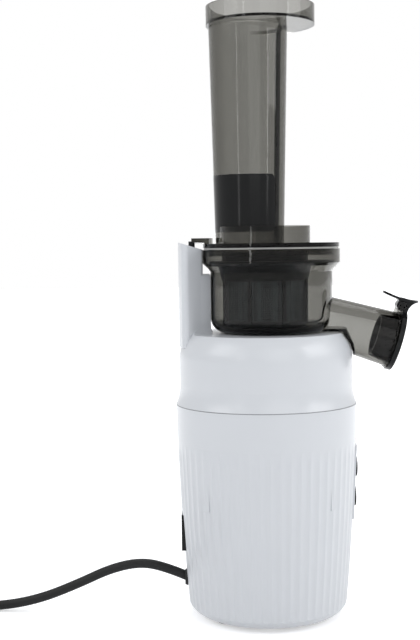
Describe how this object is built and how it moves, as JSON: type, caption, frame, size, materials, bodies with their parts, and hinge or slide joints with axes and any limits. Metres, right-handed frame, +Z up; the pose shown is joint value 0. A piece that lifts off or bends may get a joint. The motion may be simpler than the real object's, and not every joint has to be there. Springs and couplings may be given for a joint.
{
  "type": "cold press juicer",
  "caption": "Upright cold press juicer with a fluted white body, smoked bowl and strainer, tall feeding chute, tilted spout with hinged stopper, rocker switch and mains cord.",
  "frame": {"origin": "on the drive axis at the plane that the feet stand on", "axes": "+Z up along the drive axis, +X towards the juice spout, -X towards the tower and the mains cord"},
  "size_m": [0.3659, 0.1742, 0.3828],
  "materials": {
    "white_gloss": "polished",
    "white_inner": "satin",
    "smoked": "polished",
    "dark_strainer": "satin",
    "mesh_steel": "fine mesh",
    "black_gloss": "polished",
    "black_matte": "satin",
    "rubber_black": "matte",
    "silicone_grey": "matte",
    "steel": "ground",
    "zinc": "plated",
    "gear_nylon": "moulded",
    "gear_steel": "cut",
    "frame_black": "glass filled",
    "magnet": "ferrite",
    "lamination": "stacked",
    "board": "solder resist",
    "lens_red": "clear",
    "cord_black": "matte",
    "pin_brass": "nickel plated",
    "tie_wire": "twist tie"
  },
  "bodies": {
    "base": {"lower_housing": "white_gloss", "base_plate": "white_inner", "rubber_feet": "rubber_black", "base_screws": "zinc", "upper_housing": "white_gloss", "shaft_seal": "silicone_grey", "drive_bearings": "steel", "gearbox_frame": "frame_black", "gearbox_cover": "frame_black", "idler_axles": "steel", "gearbox_screws": "zinc", "motor_can": "steel", "motor_magnets": "magnet", "motor_end_bell": "frame_black", "motor_bearings": "steel", "front_bezel": "white_gloss", "panel_face": "black_gloss", "control_board": "board", "indicator_lens": "lens_red", "rocker_frame": "black_matte", "interlock_switch": "black_matte", "cord_grommet": "rubber_black", "cord_lead": "cord_black", "cord_coil": "cord_black", "cord_tail": "cord_black", "plug_body": "black_matte", "plug_pins": "pin_brass", "cord_tie": "tie_wire"},
    "drive": {"drive_gear": "gear_nylon", "drive_shaft": "steel"},
    "second_idler": {"second_idler_gear": "gear_nylon"},
    "first_idler": {"first_idler_gear": "gear_nylon"},
    "rotor": {"motor_armature": "lamination", "motor_shaft": "steel", "motor_pinion": "gear_steel"},
    "start_key": {"start_button": "black_matte"},
    "reverse_key": {"reverse_button": "black_matte"},
    "rocker": {"mains_rocker": "black_gloss"},
    "plunger": {"interlock_plunger": "black_matte"},
    "bowl": {"juice_bowl": "smoked"},
    "stopper": {"spout_stopper": "black_gloss"},
    "strainer": {"strainer_frame": "dark_strainer", "strainer_mesh": "mesh_steel"},
    "auger_body": {"auger": "black_matte"},
    "seal": {"lid_seal": "silicone_grey"},
    "chute": {"feeding_chute": "smoked"}
  },
  "joints": [
    {"name": "drive_spin", "type": "hinge", "parent": "base", "child": "drive", "pos_m": [0, 0, 0.125], "axis": [0, 0, 1], "continuous": true},
    {"name": "second_idler_spin", "type": "hinge", "parent": "base", "child": "second_idler", "pos_m": [0, 0.03, 0.12], "axis": [0, 0, 1], "continuous": true},
    {"name": "first_idler_spin", "type": "hinge", "parent": "base", "child": "first_idler", "pos_m": [0.018, 0.01735, 0.11], "axis": [0, 0, 1], "continuous": true},
    {"name": "rotor_spin", "type": "hinge", "parent": "base", "child": "rotor", "pos_m": [0, 0, 0.06], "axis": [0, 0, 1], "continuous": true},
    {"name": "start_press", "type": "slide", "parent": "base", "child": "start_key", "axis": [-1, 0, 0], "range_m": [0, 0.0012], "stiffness_N_per_m": 400},
    {"name": "reverse_press", "type": "slide", "parent": "base", "child": "reverse_key", "axis": [-1, 0, 0], "range_m": [0, 0.0012], "stiffness_N_per_m": 400},
    {"name": "rocker_tilt", "type": "hinge", "parent": "base", "child": "rocker", "pos_m": [-0.04668, 0, 0.0535], "axis": [0, 1, 0], "range_deg": [0, 14]},
    {"name": "plunger_press", "type": "slide", "parent": "base", "child": "plunger", "axis": [0, 0, -1], "range_m": [0, 0.002]},
    {"name": "bowl_lift", "type": "slide", "parent": "base", "child": "bowl", "axis": [0, 0, 1], "range_m": [0, 0.075]},
    {"name": "stopper_swing", "type": "hinge", "parent": "bowl", "child": "stopper", "pos_m": [0.08606, 0, 0.19592], "axis": [0, -1, 0], "range_deg": [0, 35]},
    {"name": "lid_lift", "type": "slide", "parent": "bowl", "child": "seal", "axis": [0, 0, 1], "range_m": [0, 0.11]},
    {"name": "lid_turn", "type": "hinge", "parent": "seal", "child": "chute", "pos_m": [0.004, 0, 0.235], "axis": [0, 0, 1], "range_deg": [0, 18]},
    {"name": "strainer_lift", "type": "slide", "parent": "bowl", "child": "strainer", "axis": [0, 0, 1], "range_m": [0, 0.0495]},
    {"name": "auger_spin", "type": "hinge", "parent": "strainer", "child": "auger_body", "pos_m": [0, 0, 0.2], "axis": [0, 0, 1], "continuous": true}
  ],
  "couplings": [
    {"joint": "second_idler_spin", "follows": "drive_spin", "ratio": -3},
    {"joint": "first_idler_spin", "follows": "drive_spin", "ratio": 8},
    {"joint": "rotor_spin", "follows": "drive_spin", "ratio": -25.333},
    {"joint": "auger_spin", "follows": "drive_spin", "ratio": 1},
    {"joint": "plunger_press", "follows": "lid_turn", "m_per_rad": 0.0063662},
    {"joint": "strainer_lift", "follows": "lid_lift", "ratio": 0.45}
  ]
}
